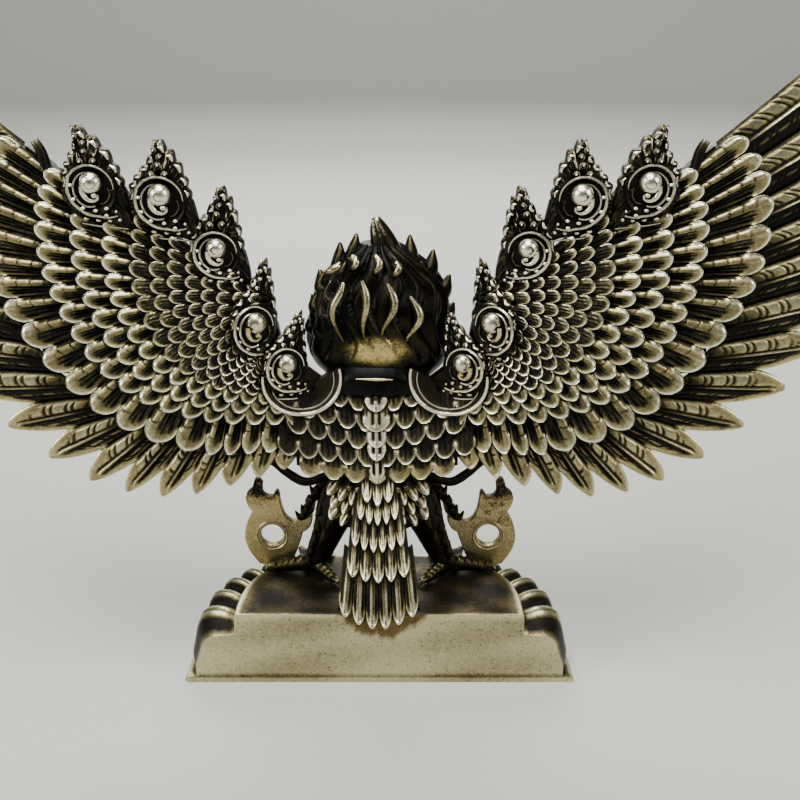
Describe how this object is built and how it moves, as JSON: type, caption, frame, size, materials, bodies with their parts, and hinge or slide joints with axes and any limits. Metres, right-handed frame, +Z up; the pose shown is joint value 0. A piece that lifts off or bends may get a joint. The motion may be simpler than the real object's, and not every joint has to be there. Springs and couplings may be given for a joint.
{
  "type": "garuda figure",
  "caption": "Cast desk figure of a winged garuda with raised, feathered wings, flame crests and fanned tail, on a half-round lotus plinth with a flat back.",
  "frame": {"origin": "middle of the plinth's underside", "axes": "+Z up, -Y the way the figure faces, +X to the left wing's side, the figure's own left"},
  "size_m": [0.2834, 0.0602, 0.1856],
  "materials": {
    "plinth_white_bronze": "rubbed white bronze, pale and finely pitted, with brown stain on top",
    "figure_white_bronze": "antiqued white bronze, rubbed silvery on the high points and black-brown in the recesses"
  },
  "bodies": {
    "root": {"plinth": "plinth_white_bronze", "garuda_figure": "figure_white_bronze"}
  },
  "joints": []
}
